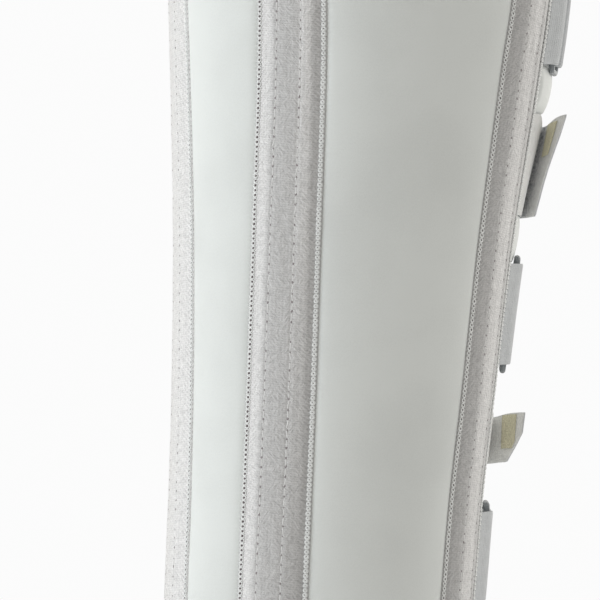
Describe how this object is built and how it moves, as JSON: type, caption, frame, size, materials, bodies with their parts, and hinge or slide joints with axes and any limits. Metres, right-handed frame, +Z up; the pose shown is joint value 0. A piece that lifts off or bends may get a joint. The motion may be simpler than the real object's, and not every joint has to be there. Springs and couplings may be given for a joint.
{
  "type": "knee immobilizer",
  "caption": "Straight open-fronted foam leg wrap with sewn-on stay sleeves, closed over the shin and thigh by webbing straps through plastic rings.",
  "frame": {"origin": "on the surface that the lower rim stands on, under the middle of the part's box", "axes": "+Z up along the leg, +Y to the back of the leg, -X to its outer (lateral) side"},
  "size_m": [0.1994, 0.1932, 0.508],
  "materials": {
    "foam_laminate": "smooth knitted face bonded to foam",
    "woven_tape": "grey woven tape with cover stitching",
    "webbing": "brushed loop webbing",
    "ring_plastic": "moulded, slightly glossy",
    "hook_tape": "cream hook tape"
  },
  "bodies": {
    "root": {"hook_patch_1": "hook_tape", "hook_patch_2": "hook_tape", "hook_patch_3": "hook_tape", "hook_patch_4": "hook_tape", "hook_patch_5": "hook_tape", "hook_patch_6": "hook_tape", "hook_patch_7": "hook_tape", "keeper_1": "webbing", "keeper_2": "webbing", "keeper_3": "webbing", "keeper_4": "webbing", "keeper_5": "webbing", "keeper_6": "webbing", "keeper_7": "webbing", "ring_1": "ring_plastic", "ring_2": "ring_plastic", "ring_3": "ring_plastic", "ring_4": "ring_plastic", "ring_5": "ring_plastic", "ring_6": "ring_plastic", "ring_7": "ring_plastic", "sleeve_back_lateral": "woven_tape", "sleeve_back_medial": "woven_tape", "sleeve_lateral": "woven_tape", "sleeve_medial": "woven_tape", "strap_1": "webbing", "strap_2": "webbing", "strap_3": "webbing", "strap_4": "webbing", "strap_5": "webbing", "strap_6": "webbing", "strap_7": "webbing", "wrap": "foam_laminate"}
  },
  "joints": []
}
